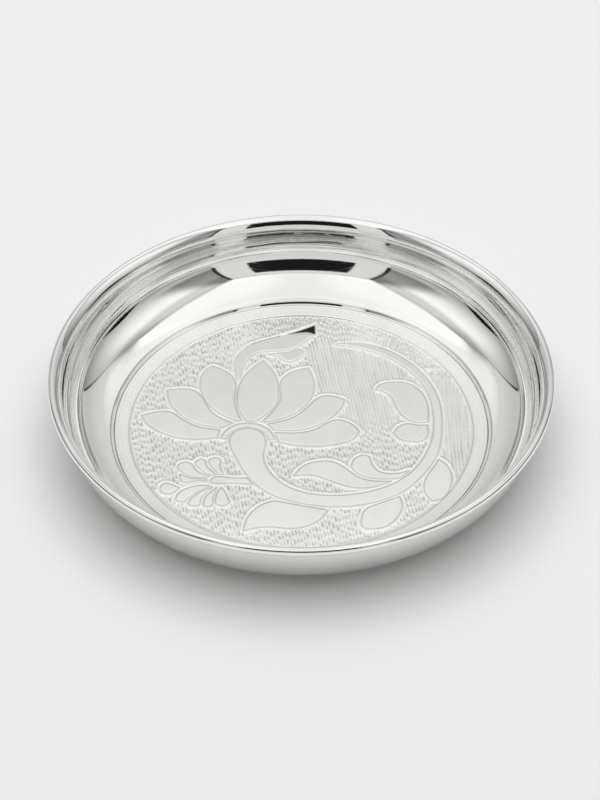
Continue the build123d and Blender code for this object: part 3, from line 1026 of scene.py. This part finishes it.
def tent_side(up, along):
    """Level of a side wall: dim near the floor, under the ceiling and towards the back.

    A grey curtain hangs at the front, and its edge slants forwards as it rises.
    """
    low = 1.0 - ((up - 0.12) / 0.8).most(0.0).least(1.0)
    curtain = (along + (up - 0.45).most(0.0) * 0.35).eased(-0.22, -0.62) * up.eased(0.26, 0.42)
    level = (1.0 - low**1.5 * 0.69) * (1.0 - up.eased(0.98, 1.34) * 0.32)
    return level * (1.0 - along.eased(0.15, 0.75) * 0.45) * (1.0 - curtain * 0.68)


def tent_back(slope, across):
    """Level of the back wall: brighter in three stages up the slope of sight, and dim in its upper corners.

    A bright patch lies at the top of its middle.
    """
    level = 0.55 + slope.eased(0.40, 0.85) * 0.12
    level = level + slope.eased(0.872, 0.935) * 0.12 + slope.eased(0.93, 1.02) * 0.10
    level = level * (1.0 - across.eased(0.50, 1.05) * slope.eased(0.80, 1.15) * 0.60)
    return level + across.eased(0.28, 0.0) * slope.eased(1.08, 1.24) * 0.12


def light_tent(look):
    """A world like the inside of a box-shaped light tent with an opening for the camera.

    Each direction is carried out to the wall of the box that it meets first, one half-width away at the
    sides, and takes its level from its place on that wall. The opening, the seams between the walls and a
    ledge low on the sides are dark. The camera itself sees a plain pale backdrop, and matte surfaces get
    most of their light from the lamp.
    """
    world = bpy.data.worlds.new("light_tent")
    world.use_nodes = True
    graph = Graph(world.node_tree)
    _, (x, y, z) = graph.place("Generated")
    in_front = y < 0.0
    to_side = 1.0 / abs(x).most(0.0001)
    to_end = (TENT_BACK + in_front * (TENT_FRONT - TENT_BACK)) / abs(y).most(0.0001)
    to_wall = to_side.least(to_end)
    corner = to_side / to_end
    on_side = corner.eased(1.01, 0.99)
    on_back = (1.0 - on_side) * (1.0 - in_front)
    across = abs(x) * to_wall
    along = y * to_wall
    up = z * to_wall
    away = (across * across + along * along) ** 0.5
    slope = up / away
    share = up / TENT_CEILING + on_back * (slope / BACK_FOLD_SLOPE - up / TENT_CEILING)
    on_top = share.eased(0.95, 1.13)
    fold = share.eased(0.86, 1.0) * share.eased(1.16, 1.0)

    back_level = tent_back(slope, across)
    end_level = back_level + in_front * (FRONT_LEVEL - back_level)
    end_level = end_level + up.eased(0.34, 0.24) * (LOW_END_LEVEL - end_level)
    foot = (slope - along / away * 0.40).eased(-0.015, -0.065) * across.eased(0.28, 0.40)
    end_level = end_level * (1.0 - foot * 0.52)
    wall_level = end_level + on_side * (tent_side(up, along) - end_level)
    top_level = 0.89 + abs(x).eased(0.03, 0.22) * 0.13 + slope.eased(1.90, 1.35) * 0.09
    level = wall_level + on_top * (top_level - wall_level)
    level = level * (1.0 - fold * abs(x).eased(0.05, 0.45) * 0.20)

    opening = in_front * (1.0 - on_side) * (across < 0.555) * (up > 0.45) * (up < 1.38)
    ledge = on_side * (up > 0.01) * (up < abs(along - 0.01).eased(0.46, 0.0) * 0.25)
    from_corner = abs(corner - 1.0)
    beside_wall = (up > 0.30) * (1.0 - on_top)
    front_seam = in_front * (from_corner < 0.034) * beside_wall
    back_seam = (1.0 - in_front) * (from_corner < 0.026) * beside_wall * (0.95 - up.eased(0.4, 1.2) * 0.6)
    dark = strongest([opening, ledge, front_seam, back_seam])
    level = level * (1.0 - dark * DARK_SHARE) * look.tent_level

    path = graph.node("ShaderNodeLightPath").outputs
    matte_share = look.tent_share * (0.75 + abs(y) * 0.6)
    level = level * (1.0 - graph.value(path["Is Diffuse Ray"]) * (1.0 - matte_share))
    tent = graph.node("ShaderNodeBackground", None, {"Color": graph.vector(level, level, level)})
    backdrop = graph.node("ShaderNodeBackground", None, {"Color": opaque([BACKDROP_LEVEL] * 3)})
    shaders = {0: path["Is Camera Ray"], 1: tent.outputs[0], 2: backdrop.outputs[0]}
    mixed = graph.node("ShaderNodeMixShader", None, shaders)
    graph.node("ShaderNodeOutputWorld", None, {"Surface": mixed.outputs[0]})
    return world


# Operators

def settings_of(context):
    """The thali's settings, its derived sizes and the radius of the recess for the engraved floor."""
    settings = context.scene.thali
    turns = sheet_turns(settings.dish)
    return settings, turns, turns["medallion_radius"] + RECESS_MARGIN


def keep_values(piece, label, *values):
    """Keeps one number for each point of a piece, for its material to read."""
    numbers = np.concatenate(values).astype(np.float32)
    piece.data.attributes.new(label, "FLOAT", "POINT").data.foreach_set("value", numbers)


def dress(piece, material):
    """Gives a new piece its body and its material, and hides the dish node that it takes the place of."""
    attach(piece, "root")
    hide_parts("dish")
    piece.data.materials.append(material)


class THALI_OT_spun_sheet(bpy.types.Operator):
    """Spins the sheet: floor, step, coved wall, flared lip and rolled rim"""

    bl_idname = "thali.spun_sheet"
    bl_label = "Spun sheet"

    def execute(self, context):
        settings, turns, recess = settings_of(context)
        profile, outside = sheet_profile(settings.dish, turns, recess, RECESS_BED)
        piece = new_piece("spun_sheet", *turned(profile, TURNED_SEGMENTS))
        keep_values(piece, "outside", np.repeat(outside[1:-1], TURNED_SEGMENTS), outside[[0, -1]])
        dress(piece, spun_silver(settings.finish, turns))
        return {"FINISHED"}


class THALI_OT_engraved_floor(bpy.types.Operator):
    """Engraves the floor: the lotus spray, its hatched ground and the border, in three bands"""

    bl_idname = "thali.engraved_floor"
    bl_label = "Engraved floor"

    def execute(self, context):
        settings, turns, recess = settings_of(context)
        floor = settings.dish.sheet
        radius = turns["medallion_radius"]
        edge = recess + SLAB_LAP
        reach = edge - BAND_END
        levels = np.linspace(-reach, reach, len(BAND_OVERLAPS) + 1)
        material = engraved_silver(settings.finish, floor)
        for (name, overlap), low, high in zip(BAND_OVERLAPS.items(), levels[:-1], levels[1:]):
            x, y = floor_band(low, high, edge, BAND_ROWS, BAND_COLUMNS, overlap)
            height, *shares = engraved_height(x.ravel(), y.ravel(), radius, settings.engraving)
            in_wall = np.hypot(x, y) > recess - SLAB_TUCK
            height = np.where(in_wall, -SLAB_TUCK, height.reshape(x.shape))
            if name == "middle":
                height[[0, 1, -2, -1]] -= MIDDLE_DIPS
            slab = closed_slab(x, y, floor + height, SLAB_BOTTOM)
            piece = new_piece(f"engraved_floor_{name}", *slab, flat=(1, 2, 3))
            under = np.zeros(2 * len(x))
            for label, share in zip(("ground", "cut", "crest"), shares):
                keep_values(piece, label, share, under)
            dress(piece, material)
        return {"FINISHED"}


class THALI_OT_rim_wire(bpy.types.Operator):
    """Gives the wire inside the rolled rim its drawn finish"""

    bl_idname = "thali.rim_wire"
    bl_label = "Rim wire"

    def execute(self, context):
        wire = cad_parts["rim_wire"]
        wire.data.materials.clear()
        wire.data.materials.append(drawn_wire(context.scene.thali.finish))
        return {"FINISHED"}


def floor_disc():
    """A wide thin disc under the dish, with its upper face at height 0."""
    edge = FLOOR_RADII[-1]
    upper = [(radius, 0.0) for radius in (0.0, *FLOOR_RADII)]
    profile = np.array([*upper, (edge, -FLOOR_THICKNESS), (0.0, -FLOOR_THICKNESS)])
    return new_piece("floor", *turned(profile, FLOOR_SEGMENTS))


def soft_lamp(look):
    """A wide round lamp above the dish and a little behind it, tilted to face it."""
    light = bpy.data.lights.new("soft_lamp", "AREA")
    light.shape = "DISK"
    light.size = LAMP_SIZE
    light.energy = look.lamp_power
    lamp = bpy.data.objects.new("soft_lamp", light)
    lamp.location = (0.0, LAMP_BACK, LAMP_HEIGHT)
    lamp.rotation_euler = (-math.atan(LAMP_BACK / LAMP_HEIGHT), 0.0, 0.0)
    lamp.visible_glossy = False
    return lamp


def camera_eye(look):
    """The camera, at its distance from the middle of the rim, which falls on its place in the picture."""
    camera = bpy.data.cameras.new("camera")
    camera.sensor_fit = "HORIZONTAL"
    camera.sensor_width = SENSOR_WIDTH
    camera.lens = look.focal_pixels * SENSOR_WIDTH / PICTURE_WIDTH
    camera.clip_end = 50.0
    eye = bpy.data.objects.new("camera", camera)
    back = look.camera_distance * math.cos(look.camera_height)
    rise = look.camera_distance * math.sin(look.camera_height)
    eye.location = (0.0, -back, RIM_MIDDLE_HEIGHT + rise)
    down = math.atan((PICTURE_HEIGHT / 2 - RIM_MIDDLE[1]) / look.focal_pixels)
    aside = math.atan((RIM_MIDDLE[0] - PICTURE_WIDTH / 2) / look.focal_pixels)
    eye.rotation_euler = (math.pi / 2 - look.camera_height - down, 0.0, aside)
    return eye


class THALI_OT_stage(bpy.types.Operator):
    """Sets the stage: pale floor, light tent, lamp and camera"""

    bl_idname = "thali.stage"
    bl_label = "Stage"

    def execute(self, context):
        scene = context.scene
        look = scene.thali.stage
        floor = floor_disc()
        floor.data.materials.append(floor_paper(look))
        scene.world = light_tent(look)
        scene.collection.objects.link(soft_lamp(look))
        scene.camera = camera_eye(look)
        scene.collection.objects.link(scene.camera)
        scene.view_settings.view_transform = "Standard"
        return {"FINISHED"}


class THALI_PT_panel(bpy.types.Panel):
    """Lists the thali's pieces and settings"""

    bl_idname = "THALI_PT_panel"
    bl_label = "Puja thali"
    bl_space_type = "VIEW_3D"
    bl_region_type = "UI"
    bl_category = "Thali"

    def draw(self, context):
        settings = context.scene.thali
        for title, group in (
            ("Dish", settings.dish), ("Engraving", settings.engraving),
            ("Finish", settings.finish), ("Stage", settings.stage),
        ):
            box = self.layout.box()
            box.label(text=title)
            for name in group.__annotations__:
                box.prop(group, name)
        for operator in OPERATORS:
            self.layout.operator(operator.bl_idname)


OPERATORS = (THALI_OT_stage, THALI_OT_spun_sheet, THALI_OT_engraved_floor, THALI_OT_rim_wire)
CLASSES = (DishSizes, EngravingSizes, SilverFinish, StageLook, ThaliSettings, *OPERATORS, THALI_PT_panel)


def register():
    for each in CLASSES:
        bpy.utils.register_class(each)
    bpy.types.Scene.thali = PointerProperty(type=ThaliSettings)


def unregister():
    del bpy.types.Scene.thali
    for each in reversed(CLASSES):
        bpy.utils.unregister_class(each)


def main():
    register()
    bpy.ops.thali.stage()
    bpy.ops.thali.spun_sheet()
    bpy.ops.thali.engraved_floor()
    bpy.ops.thali.rim_wire()


if __name__ == "__main__":
    main()
